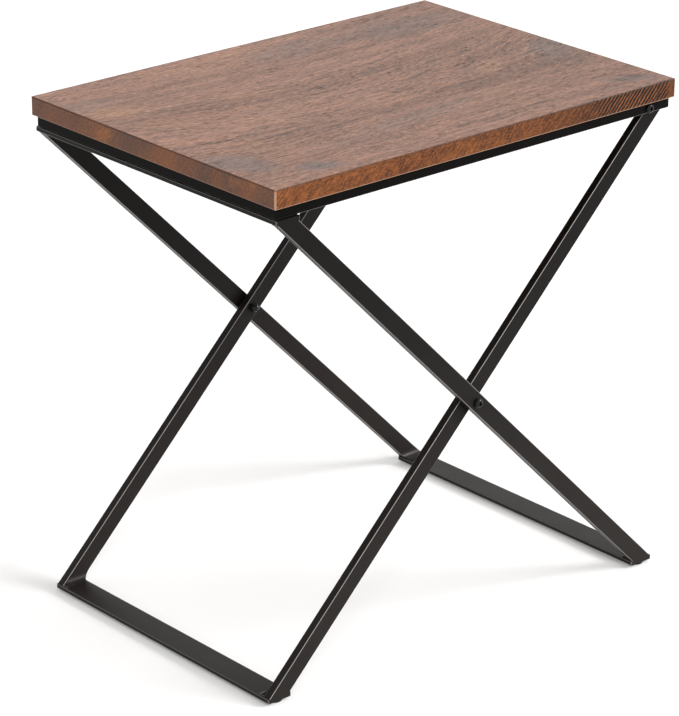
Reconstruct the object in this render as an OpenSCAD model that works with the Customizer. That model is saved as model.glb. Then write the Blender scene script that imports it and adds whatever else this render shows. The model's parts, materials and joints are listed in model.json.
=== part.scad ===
// Folding tray table: a solid wood top on a square-tube frame, carried by two
// crossed leg frames. The inner leg frame is hinged to the top near its right
// end, the two leg frames turn on each other about a pair of pivot bolts, and
// the outer frame's top crossbar rests under the left end of the top.
// X runs along the top, Y across it and Z up. The origin is on the floor,
// below the middle of the top.

/* [Top] */
// Length of the wooden top
top_length = 575; // [540:1:620]
// Depth of the wooden top
top_depth = 405; // [340:1:480]
// Thickness of the wooden top
top_thickness = 21; // [18:0.5:26]
// Height of the top's upper face above the floor
table_height = 583; // [540:1:640]
// Rounding of the top's upright corner edges
top_corner_r = 2.5; // [1:0.5:6]
// Rounding of the top's long and short edges
top_edge_r = 1.3; // [0.5:0.1:3]

/* [Apron] */
// Side of the square tube under the top
apron_tube = 12.7; // [12:0.1:14]
// Wall of the square tube
apron_wall = 1.5; // [1:0.1:2]
// How far the top overhangs the tube frame at its two ends
end_overhang = 4.5; // [3:0.5:8]
// How far the top overhangs the tube frame at its two long sides
side_overhang = 5.5; // [4:0.5:8]

/* [Leg frames] */
// Width of the leg tube, seen from the side
leg_width = 20; // [16:0.5:22]
// Thickness of the leg tube, along Y
leg_thickness = 10; // [9:0.5:11]
// Wall of the leg tube
leg_wall = 1.5; // [1:0.1:2]
// Distance from the top's end to the leg's centreline, where the leg meets its crossbar or rail
leg_end_inset = 19.5; // [17:0.5:24]
// How far the outer leg frame stays inside the top's long edges
leg_side_inset = 2.5; // [0:0.5:4]
// Space between an outer and an inner leg, filled by a spacer
leg_gap = 4; // [3:0.5:6]
// Width of the flat bars: two floor rails and one top crossbar
bar_width = 32; // [30:0.5:36]
// Thickness of the flat bars
bar_thickness = 5; // [4:0.5:6]
// Radius of the smooth weld between a leg and a flat bar
weld_r = 10; // [4:0.5:10]

/* [Joints and feet] */
// Distance from the tube frame's right end to the top hinge
hinge_inset = 30; // [28:0.5:32]
// Height of the top hinge above the tube frame's underside
hinge_rise = 5.1; // [5:0.1:5.5]
// Radius of the bolts
bolt_r = 3; // [2.5:0.1:3.2]
// Thickness of the floor glides
glide_thickness = 3; // [2:0.5:5]
// Radius of the floor glides
glide_r = 8; // [6:0.5:10]

/* [Hidden] */
$fn = 64;

front = -1;
back = 1;
left = -1;
right = 1;
steel = [0.10, 0.10, 0.105];
wood = [0.47, 0.31, 0.24];
rubber = [0.05, 0.05, 0.05];

// Levels, from the floor up
rail_bottom = glide_thickness;
rail_top = rail_bottom + bar_thickness;
board_bottom = table_height - top_thickness;
apron_bottom = board_bottom - apron_tube;
rest_gap = 0.3;
crossbar_top = apron_bottom - rest_gap;
crossbar_bottom = crossbar_top - bar_thickness;

// Tube frame
apron_x = top_length / 2 - end_overhang;
apron_y = top_depth / 2 - side_overhang;
apron_edge_r = 1.5;
apron_inner_y = apron_y - apron_tube;

// Leg frames: both pairs of legs cross at the pivot
pivot_z = (rail_top + crossbar_bottom) / 2;
leg_end_x = top_length / 2 - leg_end_inset;
leg_angle = atan2(crossbar_bottom - pivot_z, leg_end_x);
leg_length = 2 * norm([leg_end_x, crossbar_bottom - pivot_z]) + 2 * leg_width;
leg_edge_r = 1.2;
bar_edge_r = 1;
bar_corner_r = 2;
glide_inset = 0.5;
outer_y = top_depth / 2 - leg_side_inset;
inner_y = outer_y - leg_thickness - leg_gap;

// Top hinge and the cut top end of the inner legs
hinge_x = apron_x - hinge_inset;
hinge_z = apron_bottom + hinge_rise;
leg_end_gap = 1.3;
cap_thickness = 1.5;
cap_top = apron_bottom - leg_end_gap;
lug_r = 7.2;
lug_thickness = 4;

// Fasteners and their running clearances
slip = 0.05;
face_gap = 0.2;
bolt_head_r = 5.25;
bolt_head_h = 3.3;
socket_across = 4;
socket_depth = 2;
washer_r = 6;
washer_t = 1.2;
nut_across = 10;
nut_h = 5;
dome_h = 4;
bush_r = 5;
spacer_r = 7;
hinge_spacer_t = 1;
screw_r = 1.9;
screw_head_r = 3.8;
screw_head_h = 2.4;
screw_grip = 14;
screw_access_r = 4.5;
screw_x = 200;
screw_y = 105;

// ---------------------------------------------------------------- shapes

// Rectangle with rounded corners, centred on the origin
module rounded_rect(size, r) {
    square([size[0] - 2 * r, size[1]], center = true);
    square([size[0], size[1] - 2 * r], center = true);
    for (sx = [-1, 1])
        for (sy = [-1, 1])
            translate([sx * (size[0] / 2 - r), sy * (size[1] / 2 - r)])
                circle(r);
}

// Section of a rectangular tube
module tube_section(size, wall, r) {
    difference() {
        rounded_rect(size, r);
        square([size[0] - 2 * wall, size[1] - 2 * wall], center = true);
    }
}

// Cylinder along Y, from y = from to y = to, at a place in the XZ plane
module y_cylinder(x, z, from, to, r) {
    translate([x, min(from, to), z])
        rotate([-90, 0, 0])
            cylinder(r = r, h = abs(to - from));
}

// Stands a part drawn along +Z on the plane y = y0, pointing to +Y (side 1) or -Y (side -1)
module along_y(x, y0, z, side) {
    translate([x, y0, z])
        rotate([-90 * side, 0, 0])
            children();
}

// Cuts its children to the layer between two heights
module between_heights(low, high) {
    intersection() {
        children();
        translate([-top_length, -top_depth, low])
            cube([2 * top_length, 2 * top_depth, high - low]);
    }
}

// Follows a leg's slope with a 2-D section; lean is 1 for a leg that rises to the right
module leg_sweep(lean, y) {
    translate([0, y, pivot_z])
        rotate([0, lean * (90 - leg_angle), 0])
            linear_extrude(height = leg_length, center = true)
                children();
}

// ---------------------------------------------------------------- top and its tube frame

screw_places = concat(
    [for (x = [-screw_x, 0, screw_x], side = [front, back]) [x, side * (apron_y - apron_tube / 2)]],
    [for (y = [-screw_y, screw_y], side = [left, right]) [side * (apron_x - apron_tube / 2), y]]
);

module tabletop_board() {
    color(wood)
        difference() {
            translate([0, 0, board_bottom + top_thickness / 2])
                intersection() {
                    linear_extrude(height = top_thickness, center = true)
                        rounded_rect([top_length, top_depth], top_corner_r);
                    rotate([90, 0, 0])
                        linear_extrude(height = top_depth, center = true)
                            rounded_rect([top_length, top_thickness], top_edge_r);
                    rotate([90, 0, 90])
                        linear_extrude(height = top_length, center = true)
                            rounded_rect([top_depth, top_thickness], top_edge_r);
                }
            for (place = screw_places)
                translate([place[0], place[1], board_bottom - 1])
                    cylinder(r = screw_r + slip, h = screw_grip + 2);
        }
}

// A wide hole in the tube's lower wall lets the screw's head reach the upper wall
module screw_holes() {
    for (place = screw_places)
        translate([place[0], place[1], apron_bottom - 1]) {
            cylinder(r = screw_access_r, h = apron_wall + 2);
            cylinder(r = screw_r + 0.3, h = apron_tube + 2);
        }
}

// One side of the tube frame along X, with mitred ends
module apron_long(side) {
    color(steel)
        difference() {
            intersection() {
                translate([0, side * (apron_y - apron_tube / 2), apron_bottom + apron_tube / 2])
                    rotate([90, 0, 90])
                        linear_extrude(height = 2 * apron_x, center = true)
                            tube_section([apron_tube, apron_tube], apron_wall, apron_edge_r);
                translate([0, 0, apron_bottom - 1])
                    linear_extrude(height = apron_tube + 2)
                        polygon([
                            [-apron_x, side * apron_y],
                            [apron_x, side * apron_y],
                            [apron_x - apron_tube, side * apron_inner_y],
                            [-apron_x + apron_tube, side * apron_inner_y]
                        ]);
            }
            screw_holes();
            y_cylinder(hinge_x, hinge_z, side * (apron_inner_y - 1), side * (apron_y + 1), bolt_r + slip);
        }
}

// One end of the tube frame along Y, with mitred ends
module apron_short(side) {
    color(steel)
        difference() {
            intersection() {
                translate([side * (apron_x - apron_tube / 2), 0, apron_bottom + apron_tube / 2])
                    rotate([90, 0, 0])
                        linear_extrude(height = 2 * apron_y, center = true)
                            tube_section([apron_tube, apron_tube], apron_wall, apron_edge_r);
                translate([0, 0, apron_bottom - 1])
                    linear_extrude(height = apron_tube + 2)
                        polygon([
                            [side * apron_x, -apron_y],
                            [side * apron_x, apron_y],
                            [side * (apron_x - apron_tube), apron_inner_y],
                            [side * (apron_x - apron_tube), -apron_inner_y]
                        ]);
            }
            screw_holes();
        }
}

module top_screws() {
    head_top = board_bottom - apron_wall;
    color(steel)
        for (place = screw_places)
            translate([place[0], place[1], head_top - screw_head_h])
                rotate_extrude()
                    polygon([
                        [0, 0],
                        [screw_head_r - 1, 0],
                        [screw_head_r, 1],
                        [screw_head_r, screw_head_h],
                        [screw_r, screw_head_h],
                        [screw_r, screw_head_h + apron_wall + screw_grip - 2],
                        [0, screw_head_h + apron_wall + screw_grip]
                    ]);
}

// ---------------------------------------------------------------- fasteners

// Button-head bolt with a hexagon socket; its head stands on z = 0 and its shank runs down
module button_bolt(shank) {
    difference() {
        rotate_extrude()
            polygon(concat(
                [[0, -shank], [bolt_r - 0.5, -shank], [bolt_r, -shank + 0.5], [bolt_r, 0], [bolt_head_r, 0]],
                [for (a = [0:15:75]) [
                    socket_across / 2 + 0.6 + (bolt_head_r - socket_across / 2 - 0.6) * cos(a),
                    0.6 + (bolt_head_h - 0.6) * sin(a)
                ]],
                [[0, bolt_head_h]]
            ));
        translate([0, 0, bolt_head_h - socket_depth])
            cylinder(d = socket_across / cos(30), h = socket_depth + 1, $fn = 6);
    }
}

// Ring along +Z
module ring(outer_r, inner_r, height) {
    difference() {
        cylinder(r = outer_r, h = height);
        translate([0, 0, -1])
            cylinder(r = inner_r, h = height + 2);
    }
}

// Plain hexagon nut, standing on z = 0, with its upper corners turned off
module hex_nut() {
    difference() {
        intersection() {
            cylinder(d = nut_across / cos(30), h = nut_h, $fn = 6);
            rotate_extrude()
                polygon([
                    [0, 0],
                    [nut_across / 2 + 1, 0],
                    [nut_across / 2 + 1, nut_h - 1],
                    [nut_across / 2, nut_h],
                    [0, nut_h]
                ]);
        }
        translate([0, 0, -1])
            cylinder(r = bolt_r + slip, h = nut_h + 2);
    }
}

// Domed nut, standing on z = 0, with a blind hole
module cap_nut() {
    difference() {
        union() {
            cylinder(d = nut_across / cos(30), h = nut_h - 0.5, $fn = 6);
            rotate_extrude()
                polygon(concat(
                    [[0, 0], [nut_across / 2 - 0.3, 0]],
                    [for (a = [0:10:80]) [(nut_across / 2 - 0.3) * cos(a), nut_h - 0.5 + dome_h * sin(a)]],
                    [[0, nut_h - 0.5 + dome_h]]
                ));
        }
        translate([0, 0, -1])
            cylinder(r = bolt_r + slip, h = nut_h + 2);
    }
}

module hinge_bolt(side) {
    shank = apron_tube + hinge_spacer_t + lug_thickness + 2 * face_gap + nut_h + 1;
    color(steel)
        along_y(hinge_x, side * apron_y, hinge_z, side)
            button_bolt(shank);
}

module hinge_spacer(side) {
    color(steel)
        along_y(hinge_x, side * apron_inner_y, hinge_z, -side)
            ring(washer_r, bolt_r + slip, hinge_spacer_t);
}

module hinge_nut(side) {
    inward = hinge_spacer_t + lug_thickness + 2 * face_gap;
    color(steel)
        along_y(hinge_x, side * (apron_inner_y - inward), hinge_z, -side)
            hex_nut();
}

module pivot_bolt(side) {
    shank = washer_t + 2 * leg_thickness + leg_gap + face_gap + nut_h;
    color(steel)
        along_y(0, side * (outer_y + washer_t), pivot_z, side)
            button_bolt(shank);
}

module pivot_washer(side) {
    color(steel)
        along_y(0, side * outer_y, pivot_z, side)
            ring(washer_r, bolt_r + slip, washer_t);
}

module pivot_spacer(side) {
    color(steel)
        along_y(0, side * (outer_y - leg_thickness), pivot_z, -side)
            ring(spacer_r, bolt_r + slip, leg_gap - face_gap);
}

module pivot_nut(side) {
    color(steel)
        along_y(0, side * (inner_y - leg_thickness - face_gap), pivot_z, -side)
            cap_nut();
}

// ---------------------------------------------------------------- leg frames

// Flat bar along Y at the left or right end of the leg frames
module flat_bar(end, bottom, half_length) {
    translate([end * leg_end_x, 0, bottom + bar_thickness / 2])
        intersection() {
            rotate([90, 0, 0])
                linear_extrude(height = 2 * half_length, center = true)
                    rounded_rect([bar_width, bar_thickness], bar_edge_r);
            linear_extrude(height = bar_thickness + 2, center = true)
                rounded_rect([bar_width, 2 * half_length], bar_corner_r);
        }
}

// Concave weld in the corner between a leg's inner face and a flat bar's face at height z, on
// the bar at the left or right end; it stands on the bar (up = 1) or hangs below it (up = -1)
// and keeps to the leg's slope
module weld(lean, end, face_y, z, up) {
    length = bar_width + 2 * weld_r;
    for (side = [front, back])
        intersection() {
            translate([end * leg_end_x - length / 2, side * face_y, z])
                mirror([0, side > 0 ? 1 : 0, 0])
                    mirror([0, 0, up > 0 ? 0 : 1])
                        difference() {
                            cube([length, weld_r, weld_r]);
                            translate([-1, weld_r, weld_r])
                                rotate([0, 90, 0])
                                    cylinder(r = weld_r, h = length + 2);
                        }
            leg_sweep(lean, 0)
                square([leg_width - leg_edge_r, 2 * top_depth], center = true);
        }
}

// Leg tube of the outer frame: from the top crossbar on the left down to the floor rail on the right
module outer_leg(side) {
    y = side * (outer_y - leg_thickness / 2);
    color(steel)
        difference() {
            between_heights(rail_top, crossbar_bottom)
                leg_sweep(-1, y)
                    tube_section([leg_width, leg_thickness], leg_wall, leg_edge_r);
            y_cylinder(0, pivot_z, y - leg_thickness, y + leg_thickness, bolt_r + slip);
        }
}

// Leg tube of the inner frame: from just below the tube frame on the right down to the rail on the left
module inner_leg(side) {
    y = side * (inner_y - leg_thickness / 2);
    color(steel)
        difference() {
            between_heights(rail_top, cap_top - cap_thickness)
                leg_sweep(1, y)
                    tube_section([leg_width, leg_thickness], leg_wall, leg_edge_r);
            y_cylinder(0, pivot_z, y - leg_thickness, y + leg_thickness, bush_r + slip);
        }
}

// Sleeve through the inner leg, which turns on the pivot bolt
module pivot_bush(side) {
    color(steel)
        along_y(0, side * (inner_y - leg_thickness), pivot_z, side)
            ring(bush_r, bolt_r + slip, leg_thickness);
}

// Plate that closes the inner leg's cut top end
module inner_leg_cap(side) {
    y = side * (inner_y - leg_thickness / 2);
    color(steel)
        between_heights(cap_top - cap_thickness, cap_top)
            leg_sweep(1, y)
                rounded_rect([leg_width, leg_thickness], leg_edge_r);
}

// Eye plate that stands on the leg's cap, beside the tube frame, and holds the top hinge bolt
module hinge_lug(side) {
    outer_face = apron_inner_y - hinge_spacer_t - face_gap;
    foot_z = cap_top - hinge_z;
    leg_left_x = (cap_top - pivot_z) / tan(leg_angle) - leg_width / 2 / sin(leg_angle);
    foot_x = leg_left_x - hinge_x + 0.3;
    heel_x = 2 * lug_r + 0.6;
    color(steel)
        translate([hinge_x, side * (outer_face - lug_thickness / 2), hinge_z])
            rotate([90, 0, 0])
                linear_extrude(height = lug_thickness, center = true)
                    difference() {
                        union() {
                            circle(lug_r);
                            polygon([
                                [-lug_r, 0],
                                [foot_x, foot_z],
                                [heel_x, foot_z],
                                [heel_x, foot_z + 2.4],
                                [lug_r * cos(55), lug_r * sin(55)]
                            ]);
                        }
                        circle(bolt_r + slip);
                    }
}

module outer_top_crossbar() {
    color(steel) {
        flat_bar(left, crossbar_bottom, outer_y);
        weld(-1, left, outer_y - leg_thickness, crossbar_bottom, -1);
    }
}

module outer_floor_rail() {
    color(steel) {
        flat_bar(right, rail_bottom, outer_y);
        weld(-1, right, outer_y - leg_thickness, rail_top, 1);
    }
}

module inner_floor_rail() {
    color(steel) {
        flat_bar(left, rail_bottom, inner_y);
        weld(1, left, inner_y - leg_thickness, rail_top, 1);
    }
}

// Round glide under the end of a floor rail
module floor_glide(end, side) {
    half_length = end == left ? inner_y : outer_y;
    color(rubber)
        translate([end * leg_end_x, side * (half_length - glide_r - glide_inset), 0])
            rotate_extrude()
                polygon([
                    [0, 0],
                    [glide_r - 0.8, 0],
                    [glide_r, 0.8],
                    [glide_r, glide_thickness],
                    [0, glide_thickness]
                ]);
}

// ---------------------------------------------------------------- nodes

tabletop_board();
apron_long(front);  // apron_front
apron_long(back);  // apron_back
apron_short(left);  // apron_left
apron_short(right);  // apron_right
top_screws();
hinge_bolt(front);  // hinge_bolt_front
hinge_bolt(back);  // hinge_bolt_back
hinge_spacer(front);  // hinge_spacer_front
hinge_spacer(back);  // hinge_spacer_back
hinge_nut(front);  // hinge_nut_front
hinge_nut(back);  // hinge_nut_back
inner_leg(front);  // inner_leg_front
inner_leg(back);  // inner_leg_back
inner_floor_rail();
inner_leg_cap(front);  // inner_leg_cap_front
inner_leg_cap(back);  // inner_leg_cap_back
hinge_lug(front);  // hinge_lug_front
hinge_lug(back);  // hinge_lug_back
pivot_bush(front);  // pivot_bush_front
pivot_bush(back);  // pivot_bush_back
floor_glide(left, front);  // floor_glide_left_front
floor_glide(left, back);  // floor_glide_left_back
outer_leg(front);  // outer_leg_front
outer_leg(back);  // outer_leg_back
outer_top_crossbar();
outer_floor_rail();
pivot_bolt(front);  // pivot_bolt_front
pivot_bolt(back);  // pivot_bolt_back
pivot_washer(front);  // pivot_washer_front
pivot_washer(back);  // pivot_washer_back
pivot_spacer(front);  // pivot_spacer_front
pivot_spacer(back);  // pivot_spacer_back
pivot_nut(front);  // pivot_nut_front
pivot_nut(back);  // pivot_nut_back
floor_glide(right, front);  // floor_glide_right_front
floor_glide(right, back);  // floor_glide_right_back
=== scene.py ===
"""Looks of the folding tray table: camera, studio, lacquered hardwood, black steel and glides."""
import json
import math

import bpy
from mathutils import Matrix, Vector


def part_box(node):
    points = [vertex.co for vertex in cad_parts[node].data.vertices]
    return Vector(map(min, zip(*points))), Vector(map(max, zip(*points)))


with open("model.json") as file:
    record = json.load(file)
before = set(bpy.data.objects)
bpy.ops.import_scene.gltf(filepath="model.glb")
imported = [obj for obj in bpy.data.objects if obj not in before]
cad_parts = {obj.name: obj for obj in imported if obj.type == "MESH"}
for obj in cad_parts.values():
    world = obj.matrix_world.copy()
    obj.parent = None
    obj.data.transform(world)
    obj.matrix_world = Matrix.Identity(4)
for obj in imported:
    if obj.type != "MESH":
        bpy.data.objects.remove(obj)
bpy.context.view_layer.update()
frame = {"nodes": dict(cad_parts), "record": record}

MM = 0.001

# Camera: where it stands, where it points and how long its lens is
EYE = Vector((-2.3287, -2.6075, 1.6860))
HEADING = math.radians(48.71)
LOOK_DOWN = math.radians(22.169)
ROLL = math.radians(0.278)
LENS = 169.67
SENSOR = 36.0
SHIFT = (0.0158, 0.0055)

# The studio
WHITE = (1.0, 1.0, 1.0, 1)
SUN_COLOUR = (1.0, 0.99, 0.975)
FLOOR_HALF = 9.0
FLOOR_PAINT = (0.70, 0.70, 0.70, 1)
FLOOR_GLOW = 0.17

# The board, from the frame
BOARD_LOW, BOARD_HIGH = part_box("tabletop_board")
BOARD_SIZE = BOARD_HIGH - BOARD_LOW
HALF_LENGTH = BOARD_SIZE.x / 2
HALF_DEPTH = BOARD_SIZE.y / 2

# The legs run from the floor rails' upper faces to the crossbar's lower face
RAIL_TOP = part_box("outer_leg_front")[0].z
CROSSBAR_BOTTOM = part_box("outer_leg_front")[1].z


# ------------------------------------------------------------------ camera and studio

def make_camera():
    forward = Vector((
        math.cos(HEADING) * math.cos(LOOK_DOWN),
        math.sin(HEADING) * math.cos(LOOK_DOWN),
        -math.sin(LOOK_DOWN),
    ))
    level_right = Vector((math.sin(HEADING), -math.cos(HEADING), 0))
    level_up = level_right.cross(forward)
    right = math.cos(ROLL) * level_right + math.sin(ROLL) * level_up
    up = math.cos(ROLL) * level_up - math.sin(ROLL) * level_right
    data = bpy.data.cameras.new("camera")
    data.lens = LENS
    data.sensor_width = SENSOR
    data.shift_x, data.shift_y = SHIFT
    data.clip_end = 60
    camera = bpy.data.objects.new("camera", data)
    turn = Matrix((right, up, -forward)).transposed().to_4x4()
    camera.matrix_world = Matrix.Translation(EYE) @ turn
    bpy.context.scene.collection.objects.link(camera)
    bpy.context.scene.camera = camera


def make_floor():
    half = FLOOR_HALF
    corners = [(-half, -half, 0), (half, -half, 0), (half, half, 0), (-half, half, 0)]
    mesh = bpy.data.meshes.new("floor")
    mesh.from_pydata(corners, [], [(0, 1, 2, 3)])
    floor = bpy.data.objects.new("floor", mesh)
    bpy.context.scene.collection.objects.link(floor)
    paint = bpy.data.materials.new("floor_paint")
    paint.use_nodes = True
    shader = paint.node_tree.nodes["Principled BSDF"]
    shader.inputs["Base Color"].default_value = FLOOR_PAINT
    shader.inputs["Roughness"].default_value = 0.9
    shader.inputs["Specular IOR Level"].default_value = 0.0
    shader.inputs["Emission Color"].default_value = WHITE
    shader.inputs["Emission Strength"].default_value = FLOOR_GLOW
    mesh.materials.append(paint)


def make_sky():
    """A bright band round the horizon, as from a white studio wall, under a dark ceiling."""
    world = bpy.data.worlds.new("studio")
    bpy.context.scene.world = world
    world.use_nodes = True
    tree = world.node_tree
    background = tree.nodes["Background"]
    where = tree.nodes.new("ShaderNodeTexCoord")
    split = tree.nodes.new("ShaderNodeSeparateXYZ")
    ramp = tree.nodes.new("ShaderNodeMapRange")
    ramp.interpolation_type = "SMOOTHSTEP"
    wall_top, ceiling_start = math.sin(math.radians(26)), math.sin(math.radians(40))
    wall_light, ceiling_light = 1.30, 0.08
    ramp.inputs["From Min"].default_value = wall_top
    ramp.inputs["From Max"].default_value = ceiling_start
    ramp.inputs["To Min"].default_value = wall_light
    ramp.inputs["To Max"].default_value = ceiling_light
    tree.links.new(where.outputs["Generated"], split.inputs[0])
    tree.links.new(split.outputs["Z"], ramp.inputs["Value"])
    tree.links.new(ramp.outputs["Result"], background.inputs["Strength"])
    background.inputs["Color"].default_value = WHITE


def make_sun(name, towards, energy, width):
    data = bpy.data.lights.new(name, "SUN")
    data.energy = energy
    data.angle = math.radians(width)
    data.color = SUN_COLOUR
    lamp = bpy.data.objects.new(name, data)
    lamp.rotation_euler = Vector(towards).to_track_quat("Z", "Y").to_euler()
    bpy.context.scene.collection.objects.link(lamp)


def make_lights():
    """A broad light overhead, a low one for soft shadows and a small one that draws the edges."""
    make_sun("overhead", (0.34, -0.14, 0.93), energy=1.60, width=84)
    make_sun("side", (0.66, -0.58, 0.44), energy=2.80, width=22)
    make_sun("edge", (-0.38, -0.62, 0.69), energy=0.70, width=14)
    bpy.context.scene.view_settings.view_transform = "Standard"


# ------------------------------------------------------------------ material graphs

class Graph:
    """Short calls that add nodes to one material. Each returns the socket that carries its result."""

    def __init__(self, name):
        self.material = bpy.data.materials.new(name)
        self.material.use_nodes = True
        self.tree = self.material.node_tree
        self.shader = self.tree.nodes["Principled BSDF"]

    def feed(self, socket, value):
        if isinstance(value, bpy.types.NodeSocket):
            self.tree.links.new(value, socket)
        else:
            socket.default_value = value

    def place(self):
        """The point's place in the table's own frame, in metres."""
        node = self.tree.nodes.new("ShaderNodeTexCoord")
        return node.outputs["Object"]

    def axes(self, vector):
        node = self.tree.nodes.new("ShaderNodeSeparateXYZ")
        self.feed(node.inputs[0], vector)
        return node.outputs[0], node.outputs[1], node.outputs[2]

    def vector(self, x, y, z):
        node = self.tree.nodes.new("ShaderNodeCombineXYZ")
        for socket, value in zip(node.inputs, (x, y, z)):
            self.feed(socket, value)
        return node.outputs[0]

    def cells(self, place, per_metre):
        """A place counted in noise cells, so many per metre along each axis."""
        return self.vector(*(self.times(part, count) for part, count in zip(place, per_metre)))

    def math(self, operation, *values, clamp=False):
        node = self.tree.nodes.new("ShaderNodeMath")
        node.operation = operation
        node.use_clamp = clamp
        for socket, value in zip(node.inputs, values):
            self.feed(socket, value)
        return node.outputs[0]

    def add(self, *terms):
        total = terms[0]
        for term in terms[1:]:
            total = self.math("ADD", total, term)
        return total

    def times(self, *factors):
        product = factors[0]
        for factor in factors[1:]:
            product = self.math("MULTIPLY", product, factor)
        return product

    def noise(self, vector, scale=1.0, detail=2.0, roughness=0.5):
        node = self.tree.nodes.new("ShaderNodeTexNoise")
        self.feed(node.inputs["Vector"], vector)
        node.inputs["Scale"].default_value = scale
        node.inputs["Detail"].default_value = detail
        node.inputs["Roughness"].default_value = roughness
        return node.outputs[0]

    def swing(self, vector, scale=1.0, detail=2.0, roughness=0.5):
        """Noise about zero, from about -1 to 1."""
        return self.math("MULTIPLY_ADD", self.noise(vector, scale, detail, roughness), 2.0, -1.0)

    def step(self, value, start, end, low=0.0, high=1.0):
        """Smooth step from low at start to high at end."""
        node = self.tree.nodes.new("ShaderNodeMapRange")
        node.interpolation_type = "SMOOTHSTEP"
        for socket, number in zip(node.inputs, (value, start, end, low, high)):
            self.feed(socket, number)
        return node.outputs[0]

    def mix(self, factor, a, b):
        node = self.tree.nodes.new("ShaderNodeMix")
        node.data_type = "RGBA"
        node.clamp_factor = True
        colour_a, colour_b = [socket for socket in node.inputs if socket.type == "RGBA"]
        self.feed(node.inputs[0], factor)
        self.feed(colour_a, a)
        self.feed(colour_b, b)
        return [socket for socket in node.outputs if socket.type == "RGBA"][0]

    def scaled(self, colour, factor):
        """A colour made lighter or darker by a factor."""
        node = self.tree.nodes.new("ShaderNodeVectorMath")
        node.operation = "SCALE"
        self.feed(node.inputs[0], colour)
        self.feed(node.inputs["Scale"], factor)
        return node.outputs[0]

    def bump(self, height, distance, strength=1.0):
        node = self.tree.nodes.new("ShaderNodeBump")
        node.inputs["Strength"].default_value = strength
        node.inputs["Distance"].default_value = distance
        self.feed(node.inputs["Height"], height)
        self.feed(self.shader.inputs["Normal"], node.outputs[0])


# ------------------------------------------------------------------ wood

PINK_BROWN = (0.240, 0.127, 0.089, 1)
DARK_BROWN = (0.124, 0.063, 0.044, 1)
GOLD_BROWN = (0.325, 0.174, 0.096, 1)
STAIN_GREY = (0.122, 0.092, 0.084, 1)
EDGE_ORANGE = (0.190, 0.060, 0.015, 1)
EDGE_BROWN = (0.040, 0.011, 0.003, 1)
END_RED = (0.158, 0.060, 0.027, 1)
END_GREY = (0.092, 0.045, 0.029, 1)
END_ORANGE = (0.270, 0.102, 0.030, 1)
# Light tan for the eased edges: thin stain, and also a painted highlight
WORN_TAN_AND_HIGHLIGHT = (0.460, 0.280, 0.185, 1)

# Soft spots on the board's face: middle x and y, half length, half width, turn in degrees, strength
GREY_SPOTS = [
    (-0.262, -0.115, 0.050, 0.028, -60, 0.9),
    (-0.203, -0.172, 0.030, 0.015, -20, 1.0),
    (0.262, -0.035, 0.050, 0.030, 50, 0.7),
    (0.190, 0.138, 0.100, 0.035, 0, 0.6),
    (0.040, 0.150, 0.080, 0.030, 0, 0.5),
    (0.250, -0.170, 0.040, 0.010, -25, 0.9),
    (-0.262, 0.135, 0.045, 0.020, 0, 0.5),
    (-0.040, -0.120, 0.140, 0.018, 6, 0.45),
]
GOLD_SPOTS = [
    (-0.250, 0.095, 0.040, 0.022, -30, 0.8),
    (-0.235, 0.035, 0.040, 0.020, -25, 0.6),
    (0.160, -0.038, 0.030, 0.012, 20, 0.8),
    (-0.095, 0.055, 0.050, 0.010, -12, 0.6),
    (0.090, -0.108, 0.030, 0.010, 0, 0.5),
]
DARK_MARKS = [
    (0.037, -0.039, 0.026, 0.0040, 0, 0.8),
    (0.082, -0.011, 0.028, 0.0045, 14, 0.9),
    (0.143, -0.021, 0.013, 0.0050, 24, 1.0),
    (0.166, -0.004, 0.018, 0.0070, 38, 0.9),
    (0.045, 0.012, 0.028, 0.0028, 12, 0.7),
    (0.130, 0.018, 0.022, 0.0028, 10, 0.6),
    (-0.075, -0.048, 0.030, 0.0030, 4, 0.8),
    (-0.160, -0.070, 0.080, 0.0030, 0, 0.7),
    (-0.262, -0.041, 0.028, 0.0028, -8, 0.7),
    (0.255, -0.160, 0.022, 0.0050, -32, 0.7),
]


def spots(graph, x, y, places):
    """How strongly a point lies in any of a list of soft ellipses, from 0 to 1."""
    total = 0.0
    for middle_x, middle_y, length, width, turn, strength in places:
        angle = math.radians(turn)
        from_x = graph.math("SUBTRACT", x, middle_x)
        from_y = graph.math("SUBTRACT", y, middle_y)
        along = graph.add(graph.times(from_x, math.cos(angle) / length),
                          graph.times(from_y, math.sin(angle) / length))
        across = graph.add(graph.times(from_x, -math.sin(angle) / width),
                           graph.times(from_y, math.cos(angle) / width))
        reach = graph.add(graph.times(along, along), graph.times(across, across))
        total = graph.add(graph.step(reach, 1.3, 0.0, 0.0, strength), total)
    return graph.math("MINIMUM", total, 1.0)


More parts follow.
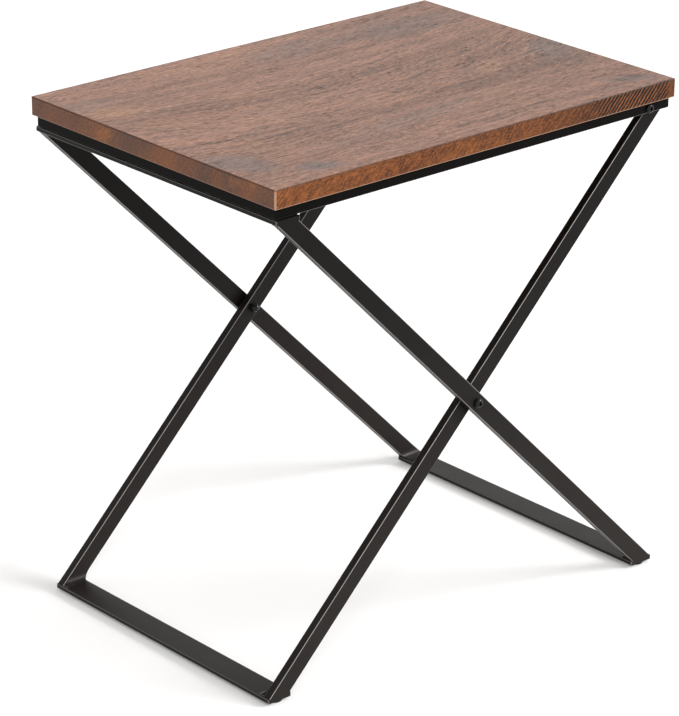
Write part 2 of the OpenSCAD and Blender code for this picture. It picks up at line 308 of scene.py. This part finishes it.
def face_grain(graph, x, y, z):
    """The board's face: long arcs that sag towards the middle, fibre, open pores and stains."""
    point = graph.vector(x, y, z)
    slow = graph.cells((x, y, z), (3.2, 9.0, 9.0))
    warp = graph.times(graph.swing(slow, detail=3.0), 0.020)
    small = graph.cells((x, y, z), (14.0, 40.0, 40.0))
    ripple = graph.times(graph.swing(small, detail=2.0), 0.0030)
    arc_middle, arc_reach, arc_sag = 0.045, 0.085, -0.60
    from_arc = graph.times(graph.math("SUBTRACT", y, arc_middle), 1 / arc_reach)
    arc_share = graph.math("POWER", math.e, graph.times(from_arc, from_arc, -1.0))
    across = graph.add(y, warp, ripple, graph.times(x, x, arc_share, arc_sag))

    grain = (x, across, z)
    bands = graph.swing(graph.cells(grain, (1.6, 46.0, 1.0)), detail=3.0)
    lines = graph.noise(graph.cells(grain, (3.0, 240.0, 1.0)), detail=2.0)
    fibre = graph.swing(graph.cells(grain, (26.0, 270.0, 200.0)), detail=3.0, roughness=0.7)
    fleck = graph.swing(graph.cells(grain, (150.0, 620.0, 300.0)), detail=2.0, roughness=0.6)
    pores = graph.noise(graph.cells(grain, (95.0, 640.0, 200.0)), detail=1.0)
    clouds = graph.swing(point, scale=9.0, detail=3.0)

    dark_line = graph.step(lines, 0.54, 0.66)
    line_region = graph.step(graph.noise(slow, scale=1.3), 0.38, 0.60)
    pore = graph.step(pores, 0.56, 0.66)
    band_share = graph.math("MULTIPLY_ADD", bands, 0.95, 0.30, clamp=True)
    colour = graph.mix(band_share, PINK_BROWN, DARK_BROWN)
    colour = graph.mix(graph.step(clouds, 0.05, 0.75, 0.0, 0.40), colour, GOLD_BROWN)
    colour = graph.mix(graph.step(fleck, 0.10, 0.50, 0.0, 0.70), colour, GOLD_BROWN)
    colour = graph.mix(graph.times(spots(graph, x, y, GOLD_SPOTS), 0.50), colour, GOLD_BROWN)
    colour = graph.mix(graph.times(spots(graph, x, y, GREY_SPOTS), 0.80), colour, STAIN_GREY)
    marks = spots(graph, x, graph.add(y, graph.times(ripple, 1.2)), DARK_MARKS)
    # Painted shade: the face is painted darker towards its hinged end
    painted_shade_hinged_end = graph.step(x, 0.02, 0.20, 0.0, -0.10)
    shade = graph.add(
        1.03,
        graph.times(fibre, 0.95),
        graph.times(fleck, 0.80),
        graph.times(dark_line, line_region, -0.28),
        graph.times(pore, -0.30),
        graph.times(marks, graph.add(0.8, fleck), -0.50),
        graph.times(clouds, 0.10),
        painted_shade_hinged_end,
    )
    return graph.scaled(colour, graph.math("MAXIMUM", shade, 0.25)), pore, fibre


def long_edge_grain(graph, x, z):
    """The board's long edges: curly figure, with slanting light streaks near the hinged end."""
    lean = 0.95
    slant = graph.math("SUBTRACT", x, graph.times(z, lean))
    # The middle number of each place only keeps the noises apart
    curl_place = graph.vector(graph.times(x, 22.0), 3.0, graph.times(z, 60.0))
    hatch_place = graph.vector(graph.times(slant, 360.0), 7.0, graph.times(z, 110.0))
    broad_place = graph.vector(graph.times(x, 11.0), 5.0, graph.times(z, 20.0))
    curl = graph.swing(curl_place, detail=4.0, roughness=0.6)
    hatch = graph.swing(hatch_place, detail=3.0, roughness=0.7)
    broad = graph.swing(broad_place, detail=2.0)
    swirl_turn = graph.add(graph.times(curl, 34.0), graph.times(z, 520.0), graph.times(x, 150.0))
    swirl = graph.math("SINE", swirl_turn)
    tone = graph.add(
        0.40,
        graph.times(swirl, 0.22),
        graph.times(broad, 0.50),
        graph.times(hatch, 0.90),
    )
    colour = graph.mix(graph.math("MAXIMUM", tone, 0.0), EDGE_ORANGE, EDGE_BROWN)

    streak_pitch = 0.0060
    streak_line = graph.add(slant, graph.times(curl, 0.0042), graph.times(hatch, 0.0009))
    streak = graph.math("SINE", graph.times(streak_line, 2 * math.pi / streak_pitch))
    streak_region = graph.times(graph.step(x, 0.130, 0.190), graph.step(x, 0.279, 0.272))
    streak_shade = graph.times(graph.step(streak, -0.7, 0.9, -0.80, 0.30), streak_region)
    # Painted shade: the edge is painted darker towards the board's hinged end
    painted_shade_end = graph.step(x, 0.02, 0.17, 0.0, -0.22)
    shade = graph.add(0.92, painted_shade_end, streak_shade, graph.times(hatch, -0.85))
    return graph.scaled(colour, shade)


def end_grain(graph, y, z):
    """The board's short edges: end grain in soft blocks of red, grey and orange brown."""
    # The last number of each place only keeps the noises apart
    blocks_place = graph.vector(graph.times(y, 17.0), graph.times(z, 7.0), 2.0)
    knots_place = graph.vector(graph.times(y, 21.0), graph.times(z, 30.0), 9.0)
    rings_slant = graph.add(y, graph.times(z, 0.8))
    rings_place = graph.vector(graph.times(rings_slant, 240.0), 4.0, 1.0)
    speckle_place = graph.vector(graph.times(y, 360.0), graph.times(z, 440.0), 1.0)
    blocks = graph.noise(blocks_place, detail=1.0)
    knots = graph.noise(knots_place, detail=2.0)
    rings = graph.swing(rings_place, detail=2.0)
    speckle = graph.swing(speckle_place, detail=3.0, roughness=0.7)
    colour = graph.mix(graph.step(blocks, 0.38, 0.62), END_RED, END_GREY)
    colour = graph.mix(graph.step(knots, 0.56, 0.72, 0.0, 0.55), colour, END_ORANGE)
    shade = graph.add(1.0, graph.times(rings, 0.30), graph.times(speckle, 0.90))
    return graph.scaled(colour, shade)


def make_wood():
    graph = Graph("board_hardwood")
    x, y, z = graph.axes(graph.place())
    face, pore, fibre = face_grain(graph, x, y, z)
    # A face's grain gives way to the edge's on the last of the rounding
    rim, past_rim = 1.4 * MM, 0.7 * MM
    corner, past_corner = 2.2 * MM, 1.4 * MM
    away_y = graph.math("ABSOLUTE", y)
    away_x = graph.math("ABSOLUTE", x)
    on_long_edge = graph.step(away_y, HALF_DEPTH - rim, HALF_DEPTH - past_rim)
    on_short_edge = graph.step(away_x, HALF_LENGTH - rim, HALF_LENGTH - past_rim)
    on_edge = graph.math("MAXIMUM", on_long_edge, on_short_edge)
    colour = graph.mix(on_long_edge, face, long_edge_grain(graph, x, z))
    colour = graph.mix(on_short_edge, colour, end_grain(graph, y, z))
    # The stain is thin on the eased lower and upright edges, which are also painted lighter as a
    # painted highlight, and heavy along the upper one
    low = graph.step(z, BOARD_LOW.z + rim, BOARD_LOW.z + past_rim)
    high = graph.step(z, BOARD_HIGH.z - rim - past_rim, BOARD_HIGH.z - past_rim)
    upright = graph.times(graph.step(away_x, HALF_LENGTH - corner, HALF_LENGTH - past_corner),
                          graph.step(away_y, HALF_DEPTH - corner, HALF_DEPTH - past_corner))
    low_wear_and_highlight = graph.times(low, graph.step(on_short_edge, 0.0, 1.0, 0.75, 0.35))
    thin_stain_and_highlight = graph.times(graph.math("MAXIMUM", low_wear_and_highlight, graph.times(upright, 0.75)), on_edge)
    colour = graph.mix(thin_stain_and_highlight, colour, WORN_TAN_AND_HIGHLIGHT)
    colour = graph.scaled(colour, graph.add(1.0, graph.times(high, on_edge, -0.40)))
    graph.feed(graph.shader.inputs["Base Color"], colour)
    graph.feed(graph.shader.inputs["Roughness"],
               graph.add(0.42, graph.times(pore, 0.16), graph.times(fibre, 0.10)))
    graph.shader.inputs["Specular IOR Level"].default_value = 0.16
    graph.bump(graph.add(graph.times(fibre, 0.25), graph.times(pore, -1.0)), 0.12 * MM)
    return graph.material


# ------------------------------------------------------------------ metal and rubber

COAT_DARK = (0.0062, 0.0049, 0.0045, 1)
COAT_LIGHT = (0.0100, 0.0082, 0.0075, 1)
OXIDE_DARK = (0.003, 0.003, 0.003, 1)
OXIDE_LIGHT = (0.009, 0.009, 0.009, 1)
RUBBER_DARK = (0.010, 0.010, 0.010, 1)
RUBBER_LIGHT = (0.022, 0.021, 0.021, 1)


def arris(graph, lean):
    """Where the edges are on a bar turned about Y by lean: 0 on its flat faces, 1 on its edges."""
    node = graph.tree.nodes.new("ShaderNodeTexCoord")
    x, y, z = graph.axes(node.outputs["Normal"])
    first = graph.add(graph.times(x, math.cos(lean)), graph.times(z, math.sin(lean)))
    second = graph.add(graph.times(x, -math.sin(lean)), graph.times(z, math.cos(lean)))
    flatness = graph.math("MAXIMUM", graph.math("ABSOLUTE", first), graph.math("ABSOLUTE", second))
    flatness = graph.math("MAXIMUM", flatness, graph.math("ABSOLUTE", y))
    return graph.step(flatness, 0.95, 0.84)


def make_powder_coat(name, lean, depth=1.0, gloss=0.10, wear_and_edge_highlight=0.14, welds=True):
    """Satin black powder coat with a fine orange peel, its edges painted light as a painted highlight
    and its black painted lighter towards the floor and darker towards the board above as painted
    shade.

    lean is how far the bar is turned about Y, depth scales the black's lightness, gloss is the
    specular level, wear_and_edge_highlight is how light the edges are painted as a painted highlight,
    and welds is for bars that carry them.
    """
    graph = Graph(name)
    place = graph.place()
    height = graph.axes(place)[2]
    peel = graph.swing(place, scale=900.0, detail=2.0)
    cloud = graph.noise(place, scale=22.0, detail=3.0)
    edge = arris(graph, lean)
    if welds:
        # The welds' hollows get none of the painted edge highlight
        toe = 0.7 * MM
        below = graph.step(height, RAIL_TOP + toe, RAIL_TOP)
        above = graph.step(height, CROSSBAR_BOTTOM - toe, CROSSBAR_BOTTOM)
        edge = graph.times(edge, graph.math("MAXIMUM", below, above))
    coat = graph.mix(cloud, COAT_DARK, COAT_LIGHT)
    # Painted shade: the black is painted lighter towards the floor and darker up towards the board,
    # as if shaded by it
    painted_shade_by_height = graph.step(height, 0.0, CROSSBAR_BOTTOM, 1.7, 0.45)
    coat = graph.scaled(coat, graph.times(painted_shade_by_height, graph.add(depth, graph.times(peel, 0.25))))
    # Painted highlight: the edges are painted light grey where highlight lines fall on them
    painted_edge_highlight = (wear_and_edge_highlight, 0.95 * wear_and_edge_highlight, 0.90 * wear_and_edge_highlight, 1)
    graph.feed(graph.shader.inputs["Base Color"], graph.mix(edge, coat, painted_edge_highlight))
    graph.feed(graph.shader.inputs["Roughness"], graph.step(cloud, 0.3, 0.7, 0.30, 0.38))
    graph.feed(graph.shader.inputs["Metallic"], graph.times(edge, 0.5))
    graph.shader.inputs["Specular IOR Level"].default_value = gloss
    graph.bump(peel, 0.035 * MM, 0.6)
    return graph.material


def make_black_oxide():
    """Bolts, washers and nuts: blackened steel, a little glossier than the frame."""
    graph = Graph("fastener_black_oxide")
    place = graph.place()
    wear_and_edge_highlight = graph.noise(place, scale=260.0, detail=3.0)
    graph.feed(graph.shader.inputs["Base Color"], graph.mix(wear_and_edge_highlight, OXIDE_DARK, OXIDE_LIGHT))
    graph.feed(graph.shader.inputs["Roughness"], graph.step(wear_and_edge_highlight, 0.3, 0.7, 0.14, 0.24))
    graph.shader.inputs["Specular IOR Level"].default_value = 0.22
    graph.bump(wear_and_edge_highlight, 0.02 * MM, 0.5)
    return graph.material


def make_rubber():
    graph = Graph("glide_rubber")
    place = graph.place()
    grain = graph.noise(place, scale=1400.0, detail=2.0)
    graph.feed(graph.shader.inputs["Base Color"], graph.mix(grain, RUBBER_DARK, RUBBER_LIGHT))
    graph.feed(graph.shader.inputs["Roughness"], graph.step(grain, 0.3, 0.7, 0.66, 0.80))
    graph.shader.inputs["Specular IOR Level"].default_value = 0.3
    graph.bump(grain, 0.04 * MM, 0.6)
    return graph.material


def dress_frame():
    """Gives every CAD node the finish of its slot in the record, and legs and apron their own."""
    leg_coat = make_powder_coat("leg_powder_coat", math.radians(45), wear_and_edge_highlight=0.26, welds=False)
    # Painted shade: the apron gets a darker copy of the same black coat, for its place in shade under
    # the board
    apron_coat = make_powder_coat("apron_powder_coat", 0.0, depth=0.6, gloss=0.04, welds=False)
    finishes = {
        "board_wood": make_wood(),
        "frame_steel": make_powder_coat("bar_powder_coat", 0.0),
        "fastener_black": make_black_oxide(),
        "glide_rubber": make_rubber(),
    }
    slot_of = {row["node"]: row["material_slot"] for row in frame["record"]["subparts"]}
    for name, node in frame["nodes"].items():
        finish = finishes[slot_of[name]]
        if name.startswith(("inner_leg_", "outer_leg_")):
            finish = leg_coat
        if name.startswith("apron_"):
            finish = apron_coat
        for slot in node.material_slots:
            slot.material = finish


make_camera()
make_floor()
make_sky()
make_lights()
dress_frame()
